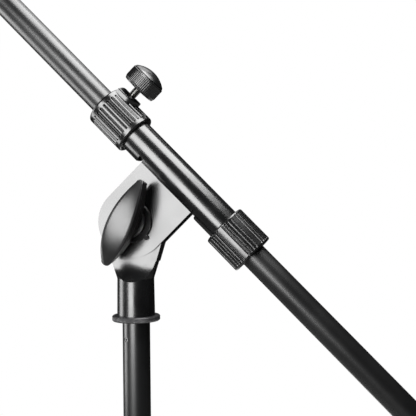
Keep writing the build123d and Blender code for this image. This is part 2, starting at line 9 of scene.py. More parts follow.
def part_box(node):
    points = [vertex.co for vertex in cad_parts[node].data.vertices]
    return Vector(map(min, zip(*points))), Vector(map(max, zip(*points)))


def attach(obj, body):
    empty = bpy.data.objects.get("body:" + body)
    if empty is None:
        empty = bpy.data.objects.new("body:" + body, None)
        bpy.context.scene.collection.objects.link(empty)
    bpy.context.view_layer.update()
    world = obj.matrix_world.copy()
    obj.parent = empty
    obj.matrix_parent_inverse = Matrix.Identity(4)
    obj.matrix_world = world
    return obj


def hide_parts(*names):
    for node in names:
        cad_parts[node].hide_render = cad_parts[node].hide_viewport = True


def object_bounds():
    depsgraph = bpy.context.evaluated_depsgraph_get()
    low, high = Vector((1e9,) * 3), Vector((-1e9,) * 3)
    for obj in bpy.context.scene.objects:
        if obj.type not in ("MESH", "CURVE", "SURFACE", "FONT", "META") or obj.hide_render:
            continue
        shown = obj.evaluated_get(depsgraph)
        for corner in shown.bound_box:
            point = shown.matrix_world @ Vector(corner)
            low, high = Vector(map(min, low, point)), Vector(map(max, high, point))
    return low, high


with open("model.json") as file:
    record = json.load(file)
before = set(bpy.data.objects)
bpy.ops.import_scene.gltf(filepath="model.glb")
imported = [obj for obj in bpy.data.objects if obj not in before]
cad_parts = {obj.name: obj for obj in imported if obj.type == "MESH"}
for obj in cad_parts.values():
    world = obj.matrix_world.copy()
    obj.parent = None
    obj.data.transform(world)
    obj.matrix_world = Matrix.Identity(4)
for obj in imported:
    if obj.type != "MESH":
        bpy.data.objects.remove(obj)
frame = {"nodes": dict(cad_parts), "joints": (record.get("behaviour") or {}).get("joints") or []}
cad_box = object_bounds()
mm = 0.001

# ---- Base hub --------------------------------------------------------------------------------
# The hub is a black painted casting: a boss round the mast with three forked arms for the legs.
# It slides on the lower tube. Three plain steel pins are driven through the forks.


def effect(name, inputs, outputs):
    """A shader node group with named sockets, and its input and output nodes."""
    tree = bpy.data.node_groups.new(name, "ShaderNodeTree")
    for label, value in inputs.items():
        taken = tree.interface.new_socket(name=label, in_out="INPUT", socket_type="NodeSocketFloat")
        taken.default_value = value
    for label in outputs:
        tree.interface.new_socket(name=label, in_out="OUTPUT", socket_type="NodeSocketFloat")
    return tree, tree.nodes.new("NodeGroupInput"), tree.nodes.new("NodeGroupOutput")


def node(tree, kind, sockets=(), **settings):
    """A shader node with its settings and its input values or links."""
    made = tree.nodes.new("ShaderNode" + kind)
    for key, value in settings.items():
        setattr(made, key, value)
    for key, value in dict(sockets).items():
        if isinstance(value, bpy.types.NodeSocket):
            tree.links.new(value, made.inputs[key])
        else:
            made.inputs[key].default_value = value
    return made


def noise(tree, place, scale, detail=2.0):
    """Noise over a piece's own coordinates, as a value from 0 to 1."""
    return node(tree, "TexNoise", {"Vector": place, "Scale": scale, "Detail": detail}).outputs["Fac"]


def between(tree, value, low, high, out_low=0.0, out_high=1.0):
    """A value mapped smoothly from one range to another."""
    return node(tree, "MapRange", {"Value": value, "From Min": low, "From Max": high,
                                   "To Min": out_low, "To Max": out_high},
                interpolation_type="SMOOTHSTEP").outputs["Result"]


def maths(tree, operation, one, two):
    """One sum on two values or sockets."""
    return node(tree, "Math", {0: one, 1: two}, operation=operation).outputs[0]


def make_grain():
    """Fine tooth of a finish, and the broad unevenness over a hand's width of it."""
    tree, given, made = effect("surface grain", {"Grain": 3000.0, "Blotches": 60.0}, ["Height", "Blotch"])
    place = node(tree, "TexCoord").outputs["Object"]
    fine = noise(tree, place, given.outputs["Grain"], 3.0)
    broad = noise(tree, place, given.outputs["Blotches"], 4.0)
    tree.links.new(fine, made.inputs["Height"])
    tree.links.new(between(tree, broad, 0.3, 0.7), made.inputs["Blotch"])
    return tree


# This edge mask serves real edge wear, and on the flange washer a painted rim highlight.
def make_edge_wear_and_highlight():
    """Outer and inner edges, found by how far a rounded normal leaves the plain one."""
    tree, given, made = effect("edge wear", {"Width": 0.0005, "Breakup": 900.0}, ["Edge", "Wear and highlight"])
    rounded = node(tree, "Bevel", {"Radius": given.outputs["Width"]}, samples=6).outputs["Normal"]
    plain = node(tree, "NewGeometry").outputs["Normal"]
    same = node(tree, "VectorMath", {0: rounded, 1: plain}, operation="DOT_PRODUCT").outputs["Value"]
    edge = between(tree, same, 0.995, 0.86)
    rub = noise(tree, node(tree, "TexCoord").outputs["Object"], given.outputs["Breakup"], 4.0)
    tree.links.new(edge, made.inputs["Edge"])
    tree.links.new(maths(tree, "MULTIPLY", edge, between(tree, rub, 0.5, 0.62)), made.inputs["Wear and highlight"])
    return tree


def make_dust():
    """Dust that settles on what faces up, thicker in patches."""
    tree, given, made = effect("settled dust", {"Amount": 0.2, "Patches": 140.0}, ["Dust"])
    place = node(tree, "TexCoord")
    up = node(tree, "SeparateXYZ", {0: place.outputs["Normal"]}).outputs["Z"]
    patches = between(tree, noise(tree, place.outputs["Object"], given.outputs["Patches"], 6.0), 0.35, 0.8)
    lying = maths(tree, "MULTIPLY", between(tree, up, 0.2, 1.0), patches)
    tree.links.new(maths(tree, "MULTIPLY", lying, given.outputs["Amount"]), made.inputs["Dust"])
    return tree


grain_group = make_grain()
wear_and_highlight_group = make_edge_wear_and_highlight()
dust_group = make_dust()
dust_colour = (0.2, 0.195, 0.185)
dust_dulls = 0.5


def finish(name, colour, rough, grain, depth, worn_and_highlight=(0.1, 0.1, 0.1), wear_and_highlight_width=0.4 * mm, wear_and_highlight=0.4,
           dust=0.02, metallic=0.0, uneven=0.05, blotches=60.0, specular=1.0, lighter=1.5):
    """A material from a colour, a roughness, a grain (lines per metre, bump depth), edge wear and dust; on
    the flange washer the pale edge colour is a painted rim highlight.
    """
    material = bpy.data.materials.new(name)
    material.use_nodes = True
    tree = material.node_tree
    shader = tree.nodes["Principled BSDF"]
    texture = node(tree, "Group", node_tree=grain_group)
    texture.inputs["Grain"].default_value = grain
    texture.inputs["Blotches"].default_value = blotches
    edges = node(tree, "Group", node_tree=wear_and_highlight_group)
    edges.inputs["Width"].default_value = wear_and_highlight_width
    settled = node(tree, "Group", node_tree=dust_group)
    settled.inputs["Amount"].default_value = dust
    pale = tuple(min(1.0, c * lighter) for c in colour)
    body = node(tree, "MixRGB", {"Fac": texture.outputs["Blotch"], "Color1": (*colour, 1),
                                 "Color2": (*pale, 1)})
    # Edge colour over the edge mask: real wear on most finishes, a painted rim highlight on the flange
    # washer.
    rubbed_and_highlit = node(tree, "MixRGB", {"Fac": maths(tree, "MULTIPLY", edges.outputs["Wear and highlight"], wear_and_highlight),
                                   "Color1": body.outputs[0], "Color2": (*worn_and_highlight, 1)})
    dusty = node(tree, "MixRGB", {"Fac": settled.outputs["Dust"], "Color1": rubbed_and_highlit.outputs[0],
                                  "Color2": (*dust_colour, 1)})
    tree.links.new(dusty.outputs[0], shader.inputs["Base Color"])
    dull = between(tree, texture.outputs["Blotch"], 0.0, 1.0, rough - uneven / 2, rough + uneven / 2)
    dull = maths(tree, "ADD", dull, maths(tree, "MULTIPLY", settled.outputs["Dust"], dust_dulls))
    tree.links.new(dull, shader.inputs["Roughness"])
    bump = node(tree, "Bump", {"Height": texture.outputs["Height"], "Distance": depth, "Strength": 1.0})
    tree.links.new(bump.outputs["Normal"], shader.inputs["Normal"])
    shader.inputs["Metallic"].default_value = metallic
    shader.inputs["Specular IOR Level"].default_value = specular
    return material


def dress(material, *nodes):
    """Give CAD nodes a material."""
    for name in nodes:
        for place in frame["nodes"][name].material_slots:
            place.material = material


cast_paint = finish("black painted casting", (0.005, 0.0052, 0.0055), 0.34, 2200, 0.012 * mm,
                    worn_and_highlight=(0.06, 0.06, 0.06), blotches=90, dust=0.06)
bright_steel = finish("bright turned steel", (0.55, 0.55, 0.54), 0.28, 5000, 0.004 * mm,
                      worn_and_highlight=(0.7, 0.7, 0.7), metallic=1.0, uneven=0.12, specular=0.5)
dress(cast_paint, "base_hub")
dress(bright_steel, "leg_pins", "hub_screw")

# ---- Hub knob --------------------------------------------------------------------------------
# A lobed black plastic knob moulded on the clamping screw. Eight finger scoops run the length
# of its rim, and its face is slightly dished.

up = Vector((0, 0, 1))
joints = {joint["name"]: joint for joint in frame["joints"]}


def axes(origin, along, beside):
    """A place whose Z is along, and whose X is as near to beside as it can be."""
    z = Vector(along).normalized()
    x = Vector(beside)
    x = (x - x.dot(z) * z).normalized()
    place = Matrix((x, z.cross(x), z)).transposed().to_4x4()
    place.translation = origin
    return place


def measured(place, *nodes):
    """Lowest and highest point of CAD nodes along a place's Z, and their reach from that axis."""
    back = place.inverted()
    points = [back @ v.co for name in nodes for v in frame["nodes"][name].data.vertices]
    return (min(p.z for p in points), max(p.z for p in points), max(hypot(p.x, p.y) for p in points))


def softened(corners, steps=4):
    """An outline of (radius, height) points from corners (radius, height, rounding)."""
    points = []
    for i, (r, z, rounding) in enumerate(corners):
        corner = Vector((r, z))
        if not rounding:
            points.append((r, z))
            continue
        before = (Vector(corners[i - 1][:2]) - corner).normalized()
        after = (Vector(corners[(i + 1) % len(corners)][:2]) - corner).normalized()
        half = before.angle(after) / 2
        middle = corner + (before + after).normalized() * rounding / sin(half)
        start = corner + before * rounding / tan(half) - middle
        end = corner + after * rounding / tan(half) - middle
        turn = start.angle_signed(end)
        for step in range(steps + 1):
            arm = start.copy()
            arm.rotate(Matrix.Rotation(-turn * step / steps, 2))
            points.append(tuple(middle + arm))
    return points


def filled(points, gap):
    """The closed outline with more points, none further than gap from the next."""
    dense = []
    for i, one in enumerate(points):
        two = points[(i + 1) % len(points)]
        count = ceil(hypot(two[0] - one[0], two[1] - one[1]) / gap)
        if one[0] == 0 and two[0] == 0:
            count = 1
        dense += [(one[0] + (two[0] - one[0]) * k / count, one[1] + (two[1] - one[1]) * k / count)
                  for k in range(count)]
    return dense


def piece_from(mesh_maker, name, place, material, body, replaced=(), sharp=38):
    """Finish a bmesh as a piece: placed, smooth, dressed and riding on its body."""
    bmesh.ops.recalc_face_normals(mesh_maker, faces=mesh_maker.faces)
    mesh = bpy.data.meshes.new(name)
    mesh_maker.to_mesh(mesh)
    mesh_maker.free()
    mesh.transform(place)
    mesh.shade_smooth()
    mesh.set_sharp_from_angle(angle=radians(sharp))
    mesh.materials.append(material)
    piece = bpy.data.objects.new(name, mesh)
    bpy.context.scene.collection.objects.link(piece)
    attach(piece, body)
    if replaced:
        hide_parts(*replaced)


def turned(outline, around, press=None):
    """A bmesh turned about Z from a closed outline. press(r, z, angle) gives a pressed radius."""
    made = bmesh.new()
    rings = []
    for step in range(around):
        angle = 2 * pi * step / around
        rings.append([])
        for r, z in outline:
            reach = press(r, z, angle) if press and r > 0 else r
            rings[-1].append(made.verts.new((reach * cos(angle), reach * sin(angle), z)))
    for step, one in enumerate(rings):
        two = rings[(step + 1) % around]
        for i in range(len(outline)):
            j = (i + 1) % len(outline)
            if outline[i][0] or outline[j][0]:
                made.faces.new((one[i], one[j], two[j], two[i]))
    bmesh.ops.remove_doubles(made, verts=made.verts, dist=1e-7)
    return made


def smooth(value, low, high):
    """0 below low, 1 above high, and an S-curve between."""
    t = min(1.0, max(0.0, (value - low) / (high - low)))
    return t * t * (3 - 2 * t)


moulded = finish("black moulded plastic", (0.005, 0.005, 0.0053), 0.34, 2600, 0.003 * mm,
                 worn_and_highlight=(0.02, 0.02, 0.02), wear_and_highlight_width=0.3 * mm, wear_and_highlight=0.2, blotches=120, dust=0.04)
hub_turn = joints["hub_clamp_turn"]
knob_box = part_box("hub_knob")
knob_way = (knob_box[0] + knob_box[1]) / 2
hub_screw_place = axes(Vector(hub_turn["pos_m"]), (knob_way.x, knob_way.y, 0), up)
low, high, reach = measured(hub_screw_place, "hub_knob")
screw_reach = measured(hub_screw_place, "hub_screw")[2]
lobes = 8
scoop_depth = 2.2 * mm
stem = reach * 0.6
stem_height = 4 * mm
rim_foot = 6 * mm
face_band = 5 * mm
dish_band = 7 * mm
dish_step = 1 * mm
dish_depth = 1.4 * mm
screw_end = 8 * mm
knob = softened([(screw_reach, low, 0), (stem, low, 0.5 * mm), (stem, low + stem_height, 1 * mm),
                 (reach, low + rim_foot, 1.5 * mm), (reach, high, 2 * mm),
                 (reach - face_band, high, 1 * mm), (reach - dish_band, high - dish_step, 2 * mm),
                 (0, high - dish_depth, 0), (0, low + screw_end, 0), (screw_reach, low + screw_end, 0)])


def lobed(r, z, angle):
    """Finger scoops, deepest at the rim and gone at the stem."""
    scoop = 0.5 - 0.5 * cos(angle * lobes)
    share = smooth(r, stem, reach)
    return r - scoop_depth * share * scoop ** 2


piece_from(turned(filled(knob, 1 * mm), 160, lobed), "hub_knob_lobed", hub_screw_place, moulded,
           "hub_clamp", ["hub_knob"])

# ---- Legs ------------------------------------------------------------------------------------
# Each leg is a painted steel tube with a moulded eye on the hinge pin and a rubber boot on its
# end. The boots have grip rings and are worn flat where they stand.

tube_paint = finish("satin black tube paint", (0.004, 0.0042, 0.0045), 0.33, 1800, 0.004 * mm,
                    worn_and_highlight=(0.08, 0.08, 0.08), wear_and_highlight_width=0.3 * mm, blotches=30)
rubber = finish("black rubber", (0.012, 0.0118, 0.0115), 0.68, 1600, 0.03 * mm, specular=0.5,
                worn_and_highlight=(0.04, 0.038, 0.036), wear_and_highlight_width=0.8 * mm, wear_and_highlight=0.6, dust=0.2, uneven=0.14)
dress(tube_paint, "leg_tube_1", "leg_tube_2", "leg_tube_3")
dress(moulded, "leg_knuckle_1", "leg_knuckle_2", "leg_knuckle_3")
grip_rings = 4
ring_pitch = 5 * mm
ring_depth = 0.9 * mm
ring_start = 9 * mm
boot_lip = 1.5 * mm
boot_shoulder = 5 * mm
for leg in range(1, 4):
    fold = joints[f"leg_{leg}_fold"]
    hinge = Vector(fold["pos_m"])
    tube_points = [v.co for v in frame["nodes"][f"leg_tube_{leg}"].data.vertices]
    middle = sum(tube_points, Vector()) / len(tube_points)
    leg_place = axes(hinge, middle - hinge, up)
    low, high, reach = measured(leg_place, f"rubber_foot_{leg}")
    tube_end, bore = measured(leg_place, f"leg_tube_{leg}")[1:]
    boot = softened([(bore, low, 0), (reach - boot_lip, low, 0.8 * mm),
                     (reach, low + boot_shoulder, 1.5 * mm), (reach, high - boot_shoulder, 3 * mm),
                     (reach - boot_shoulder, high, 1 * mm), (0, high, 0), (0, tube_end, 0),
                     (bore, tube_end, 0)])
    first_ring = low + ring_start

    def gripped(r, z, angle):
        """Grip rings, with a rounded groove between each and the next."""
        along = (z - first_ring) / ring_pitch
        if r < reach - 1 * mm or not 0 <= along <= grip_rings:
            return r
        return r - ring_depth * (1 - smooth(abs(along % 1 - 0.5), 0.08, 0.22))

    made = turned(filled(boot, 0.7 * mm), 72, gripped)
    floor_normal = leg_place.to_3x3().inverted() @ up
    bmesh.ops.bisect_plane(made, geom=made.verts[:] + made.edges[:] + made.faces[:], dist=1e-6,
                           plane_co=leg_place.inverted() @ Vector((0, 0, 0)), plane_no=floor_normal,
                           clear_inner=True)
    rim = [edge for edge in made.edges if edge.is_boundary]
    bmesh.ops.holes_fill(made, edges=rim, sides=0)
    piece_from(made, f"rubber_boot_{leg}", leg_place, rubber, f"leg_{leg}",
               [f"rubber_foot_{leg}"])

# ---- Lower tube and height clutch ------------------------------------------------------------
# The lower tube is painted steel with a moulded plug in its foot. The clutch is a collar fixed
# on its top, a split ring, and a ribbed nut that squeezes the ring on to the upper tube.

inner_plastic = finish("plain black nylon", (0.009, 0.009, 0.0092), 0.5, 2000, 0.01 * mm,
                       worn_and_highlight=(0.03, 0.03, 0.03), specular=0.5)
dress(tube_paint, "lower_tube")
dress(inner_plastic, "lower_tube_plug", "mast_collet", "mast_glide")
dress(moulded, "clutch_base")
mast_place = axes(Vector((0, 0, 0)), up, (0, -1, 0))
low, high, reach = measured(mast_place, "clutch_nut")
upper_reach = measured(mast_place, "upper_tube")[2]
turning_fit = 0.06 * mm
neck_reach = 15.2 * mm + turning_fit
tube_gap = 0.3 * mm
ring_top = measured(mast_place, "mast_collet")[1]
ring_fit = 0.05 * mm
ring_room = 1 * mm
clutch_ribs = 30
clutch_rib_depth = 0.7 * mm
taper = 6 * mm
nose = 4 * mm
nut = softened([(neck_reach, low, 0.3 * mm), (reach, low, 1.2 * mm), (reach, high - taper, 2 * mm),
                (reach - nose, high, 1 * mm), (upper_reach + tube_gap, high, 0.3 * mm),
                (upper_reach + tube_gap, ring_top + ring_room, 0), (neck_reach, ring_top + ring_fit, 0)])


def clutch_ribbed(r, z, angle):
    """Grooves between broad ribs, running out before the rim and the taper."""
    if r < reach - 0.5 * mm:
        return r
    foot = smooth(z, low + 1.5 * mm, low + 3 * mm)
    head = 1 - smooth(z, high - taper - 3.5 * mm, high - taper - 2 * mm)
    groove = smooth(abs((angle * clutch_ribs / (2 * pi)) % 1 - 0.5), 0.22, 0.42)
    return r - clutch_rib_depth * (foot * head) * groove


piece_from(turned(filled(nut, 0.8 * mm), 12 * clutch_ribs, clutch_ribbed), "clutch_nut_ribbed", mast_place,
           moulded, "clutch", ["clutch_nut"])

# ---- Upper tube, stud and set screw ----------------------------------------------------------
# The upper tube is the same painted steel, one size down. A turned steel stud is plugged into
# its top and held by a small socket set screw, which sits a little below the tube's skin.

dress(tube_paint, "upper_tube")
dress(bright_steel, "top_stud")
dull_steel = finish("dull steel", (0.14, 0.14, 0.14), 0.36, 4000, 0.004 * mm, metallic=1.0,
                    worn_and_highlight=(0.3, 0.3, 0.3), wear_and_highlight_width=0.2 * mm, uneven=0.1, specular=0.5)
screw_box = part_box("set_screw")
screw_middle = (screw_box[0] + screw_box[1]) / 2
screw_out = Vector((screw_middle.x, screw_middle.y, 0))
set_place = axes(Vector((0, 0, screw_middle.z)), screw_out, up)
low, high, reach = measured(set_place, "set_screw")
socket_reach = 0.85 * mm
socket_depth = 1.4 * mm
socket_cone = 0.4 * mm
point_bevel = 0.4 * mm
head_bevel = 0.3 * mm


def hex_socket(r, z, angle):
    """Six flats on the wall of the socket, and everything else left round."""
    if r != socket_reach:
        return r
    return r * cos(pi / 6) / cos((angle % (pi / 3)) - pi / 6)


screw = [(0, low), (reach - point_bevel, low), (reach, low + point_bevel), (reach, high - head_bevel),
         (reach - head_bevel, high), (socket_reach, high), (socket_reach, high - socket_depth),
         (0, high - socket_depth - socket_cone)]
piece_from(turned(screw, 48, hex_socket), "set_screw_socket", set_place, dull_steel, "upper_mast",
           ["set_screw"])

# ---- Jam nut ---------------------------------------------------------------------------------
# A thin round nut on the stud, blackened and with a diamond knurl between two chamfers. It locks
# the swivel so that the boom can't turn on its thread.

low, high, reach = measured(mast_place, "jam_nut")
stud_reach = 4.76 * mm
knurl_count = 72
knurl_depth = 0.45 * mm
bevel_size = 0.7 * mm
fade_out = 0.1 * mm
fade_in = 0.2 * mm
thread_lead = 0.5 * mm
nut_black = finish("knurled black nut", (0.05, 0.05, 0.052), 0.4, 3500, 0.003 * mm, metallic=0.5,
                   worn_and_highlight=(0.6, 0.6, 0.6), wear_and_highlight_width=0.2 * mm, wear_and_highlight=0.9, uneven=0.08)


def knurled(r, z, angle):
    """Two crossed sets of V-shaped cuts, fading out at the chamfers."""
    if r < reach - 0.1 * mm:
        return r
    turn = angle * knurl_count / (2 * pi)
    rise = (z - low) / (2 * pi * reach / knurl_count)
    cuts = [abs((turn + side * rise) % 1 - 0.5) * 2 for side in (1, -1)]
    foot = smooth(z, low + bevel_size - fade_out, low + bevel_size + fade_in)
    head = 1 - smooth(z, high - bevel_size - fade_in, high - bevel_size + fade_out)
    return r - knurl_depth * (foot * head) * (1 - min(cuts))


outline = [(stud_reach, low + thread_lead), (stud_reach + thread_lead, low), (reach - bevel_size, low),
           (reach, low + bevel_size), (reach, high - bevel_size), (reach - bevel_size, high),
           (stud_reach + thread_lead, high), (stud_reach, high - thread_lead)]
piece_from(turned(filled(outline, 0.2 * mm), 8 * knurl_count, knurled), "jam_nut_knurled", mast_place,
           nut_black, "lock_nut", ["jam_nut"], sharp=20)

# ---- Swivel ----------------------------------------------------------------------------------
# A die-cast socket that screws on the stud and flattens into the tongue of the boom pivot. Its
# two faces are machined flat for the fibre washers, and the whole is painted gloss black.

swivel_paint = finish("gloss black casting", (0.0035, 0.0036, 0.0038), 0.25, 1500, 0.004 * mm,
                      worn_and_highlight=(0.1, 0.1, 0.1), wear_and_highlight_width=0.3 * mm, blotches=80, uneven=0.05)
fibre = finish("dark fibre", (0.03, 0.016, 0.011), 0.7, 3000, 0.02 * mm, worn_and_highlight=(0.08, 0.05, 0.035),
               specular=0.5)
dress(swivel_paint, "swivel_base")
dress(fibre, "friction_washers")

# ---- Boom clamp ------------------------------------------------------------------------------
# One steel sheet is rolled into the sleeve round the boom, and its two ears hang on either side
# of the tongue. A carriage bolt crosses them. The flange washer under the handle has one tab.


def round_edges(width, *nodes):
    """Round the sharp edges of CAD nodes."""
    for name in nodes:
        bevel = frame["nodes"][name].modifiers.new("rounded", "BEVEL")
        bevel.width = width
        bevel.segments = 3
        bevel.limit_method = "ANGLE"
        bevel.angle_limit = radians(40)
        bevel.harden_normals = True


sheet_paint = finish("satin black sheet steel", (0.004, 0.0041, 0.0043), 0.22, 1500, 0.003 * mm,
                     worn_and_highlight=(0.1, 0.1, 0.1), wear_and_highlight_width=0.3 * mm, blotches=45, uneven=0.05)
dress(sheet_paint, "boom_clamp")
blackened = finish("blackened steel", (0.008, 0.008, 0.0085), 0.3, 4000, 0.003 * mm,
                   worn_and_highlight=(0.2, 0.2, 0.2), wear_and_highlight_width=0.15 * mm, uneven=0.08)
# The flange washer's pale, wide edge colour is a painted highlight standing in for the light its bevelled
# rim catches; it is not wear.
washer_black_painted_rim = finish("dull black washer with painted rim highlight", (0.004, 0.004, 0.0042), 0.5, 3000, 0.004 * mm, specular=0.3,
                      worn_and_highlight=(0.6, 0.6, 0.6), wear_and_highlight_width=0.5 * mm, wear_and_highlight=1.0, uneven=0.08)
dress(blackened, "pivot_bolt")
dress(washer_black_painted_rim, "flange_washer")
round_edges(0.75 * mm, "boom_clamp")

# ---- Wing handle -----------------------------------------------------------------------------
# A moulded bar across the bolt. Its lens-shaped face is crowned from tip to tip and a little
# from side to side, and two shallow grooves run round its side wall. A brass nut is moulded in.

pivot = Vector(joints["boom_tilt"]["pos_m"])
lean = radians(0.5)
handle_points = [v.co for v in frame["nodes"]["wing_handle"].data.vertices]
top_point = max(handle_points, key=lambda p: (p.x ** 2 + (p.z - pivot.z) ** 2) * (p.z > pivot.z))
long_way = Matrix.Rotation(lean, 3, "Y") @ Vector((top_point.x - pivot.x, 0, top_point.z - pivot.z))
wing_place = axes(pivot, (0, -1, 0), Vector((0, 1, 0)).cross(long_way))
back = wing_place.inverted()
local = [back @ p for p in handle_points]
half_length = max(p.y for p in local)
hub_low = min(p.z for p in local)
face_middle = max(p.z for p in local)
bar_low = min(p.z for p in local if abs(p.y) > half_length / 2)
half_width = 9 * mm
tip = 3 * mm
fuller = 0.14
draft = 2.2 * mm
crown = 8 * mm
cross_crown = 0.7 * mm
rim_round = 0.7 * mm
foot_round = 0.8 * mm
wall_grooves = (0.38, 0.66)
wall_groove = 0.45 * mm
groove_profile = ((-0.035, 0), (-0.02, wall_groove), (0.02, wall_groove), (0.035, 0))
face_rings = (0.93, 0.8, 0.65, 0.5, 0.35, 0.2, 0.1, 0.0)
hub_reach = 11 * mm
hub_overlap = 3 * mm


def lens(count):
    """Points round the lens outline: two long arcs and round tips, the lower one a little fuller."""
    end = Vector((tip, half_length - tip))
    sag = half_width - tip
    radius = (end.y ** 2 + sag ** 2) / (2 * sag)
    centre = half_width - radius
    swing = atan2(end.y, end.x - centre)
    right = [Vector((centre + radius * cos(a), radius * sin(a)))
             for a in (-swing + 2 * swing * k / count for k in range(count + 1))]
    middle = Vector((0, half_length - tip))
    bend = 10
    top = [middle + tip * Vector((cos(a), sin(a))) for a in (pi * k / bend for k in range(1, bend))]
    half = right + top
    whole = half + [Vector((-p.x, -p.y)) for p in half]
    return [Vector((p.x * (1 - fuller * p.y / half_length), p.y)) for p in whole]


def face_height(x, y):
    """Height of the handle's face over its outline."""
    arc = (half_length ** 2 + crown ** 2) / (2 * crown)
    lens_half = half_width * (1 - (y / half_length) ** 2) + tip * 0.4
    return face_middle - arc + sqrt(arc ** 2 - y ** 2) - cross_crown * (x / lens_half) ** 2


def wing_mesh():
    """The bar as loops of its outline: foot, grooved side wall, rounded rim and crowned face."""
    made = bmesh.new()
    outline = lens(56)
    drop = cross_crown + rim_round
    front = [face_height(0, p.y) for p in outline]
    inward = []
    for i, p in enumerate(outline):
        side = outline[(i + 1) % len(outline)] - outline[i - 1]
        inward.append(Vector((-side.y, side.x)).normalized())

    def loop(heights, inset):
        """The outline at the given heights, drawn inward by inset."""
        return [made.verts.new((p.x + n.x * inset, p.y + n.y * inset, z))
                for p, n, z in zip(outline, inward, heights)]

    loops = [loop([bar_low] * len(outline), draft + foot_round),
             loop([bar_low + foot_round] * len(outline), draft)]
    for groove in wall_grooves:
        for share, sunk in groove_profile:
            rise = groove + share
            loops.append(loop([bar_low + (z - drop - bar_low) * rise for z in front],
                              draft * (1 - rise) + sunk))
    for step in range(6):
        swing = pi / 2 * step / 5
        loops.append(loop([z - drop + rim_round * sin(swing) for z in front],
                          rim_round * (1 - cos(swing))))
    for share in face_rings:
        ring = []
        for p, n in zip(outline, inward):
            x = (p.x + n.x * rim_round) * share
            y = p.y + n.y * rim_round
            ring.append(made.verts.new((x, y, face_height(x, y))))
        loops.append(ring)
    for one, two in zip(loops, loops[1:]):
        for i in range(len(outline)):
            j = (i + 1) % len(outline)
            made.faces.new((one[i], one[j], two[j], two[i]))
    made.faces.new(loops[0][::-1])
    bmesh.ops.remove_doubles(made, verts=made.verts, dist=1e-6)
    return made


handle_black = finish("satin black handle plastic", (0.004, 0.0041, 0.0043), 0.32, 2200, 0.003 * mm,
                      worn_and_highlight=(0.02, 0.02, 0.02), wear_and_highlight_width=0.3 * mm, wear_and_highlight=0.2, blotches=90)
piece_from(wing_mesh(), "wing_bar", wing_place, handle_black, "wing",
           ["wing_handle"], sharp=42)
insert_reach = measured(wing_place, "wing_insert")[2]
hub_outline = softened([(insert_reach, hub_low, 0), (hub_reach, hub_low, 0.4 * mm),
                        (hub_reach, bar_low + hub_overlap, 0.6 * mm),
                        (insert_reach, bar_low + hub_overlap, 0)])
piece_from(turned(hub_outline, 72), "wing_hub", wing_place, handle_black, "wing")

brass = finish("turned brass", (0.55, 0.38, 0.15), 0.3, 4000, 0.005 * mm, metallic=1.0,
               worn_and_highlight=(0.8, 0.65, 0.35), uneven=0.12, specular=0.5, lighter=1.2)
dress(brass, "wing_insert", "collar_insert")

# ---- Liners and collet -----------------------------------------------------------------------
# Two nylon bushes line the sleeve, and a split nylon ring at its tail end is squeezed on the
# boom tube by the twist collar.

dress(inner_plastic, "rear_liner", "front_liner", "boom_collet")

# ---- Rear collar -----------------------------------------------------------------------------
# A moulded collar pressed on the sleeve's end. Grooves with round ends run between its two
# smooth rims, and a pad on top carries the brass insert of the thumb screw.

boom_way = Vector(joints["boom_slide"]["axis"])
boom_point = Vector(joints["boom_roll"]["pos_m"])
boom_place = axes(boom_point + boom_way * (pivot - boom_point).dot(boom_way), boom_way, (0, -1, 0))
low, high, reach = measured(boom_place, "rear_collar")
boom_reach = measured(boom_place, "boom_tube")[2]
sleeve_low = measured(boom_place, "boom_clamp")[0]
collar_reach = 16 * mm
sleeve_reach = 12.5 * mm
pad_top = reach
rib_count = 26
rib_phase = radians(3.0)
groove_depth = 0.85 * mm
groove_half = 0.82 * mm
land_crown = 0.4 * mm
rim_band = 4 * mm
collar_edge = 1.6 * mm


def notch(across, beyond, half):
    """Depth of a cut with steep walls, a V-shaped floor and a round end, as a share of its full depth."""
    inside = max(0.0, 1 - hypot(across, beyond) / half)
    return 0.55 * smooth(inside, 0, 0.35) + 0.45 * inside


def rear_ribbed(r, z, angle):
    """Grooves with round ends between lands that are each a little crowned."""
    if r < collar_reach - 0.4 * mm:
        return r
    period = 2 * pi / rib_count
    across = (((angle - rib_phase) / period) % 1 - 0.5) * period * collar_reach
    beyond = max(0.0, low + rim_band + groove_half - z, z - high + rim_band + groove_half)
    run = 1 - smooth(beyond, 0, groove_half)
    share = 1 - abs(across) / (period * collar_reach / 2)
    return r - groove_depth * notch(across, beyond, groove_half) - land_crown * run * share ** 2


collar_plastic = finish("black collar plastic", (0.004, 0.0041, 0.0043), 0.24, 2400, 0.002 * mm,
                        worn_and_highlight=(0.02, 0.02, 0.02), wear_and_highlight_width=0.3 * mm, wear_and_highlight=0.1, blotches=110)
boom_gap = 0.3 * mm
outline = softened([(boom_reach + boom_gap, low, 0.3 * mm), (collar_reach, low, collar_edge),
                    (collar_reach, high, collar_edge), (sleeve_reach, high, 0.3 * mm),
                    (sleeve_reach, sleeve_low, 0), (boom_reach + boom_gap, sleeve_low, 0)], 6)
piece_from(turned(filled(outline, 0.4 * mm), 28 * rib_count, rear_ribbed), "rear_collar_ribbed",
           boom_place, collar_plastic, "clamp", ["rear_collar"], sharp=60)
thumb_joint = joints["thumb_turn"]
thumb_way = Vector(thumb_joint["axis"])
screw_along = (Vector(thumb_joint["pos_m"]) - boom_place.translation).dot(boom_way)
thumb_place = axes(boom_place.translation + boom_way * screw_along, thumb_way, boom_way)
pad_reach = 8.8 * mm
pad_edge = 0.9 * mm
pad_end = low - screw_along + collar_edge
pad_floor = sleeve_reach - 0.3 * mm
insert_outer = measured(thumb_place, "collar_insert")[2]


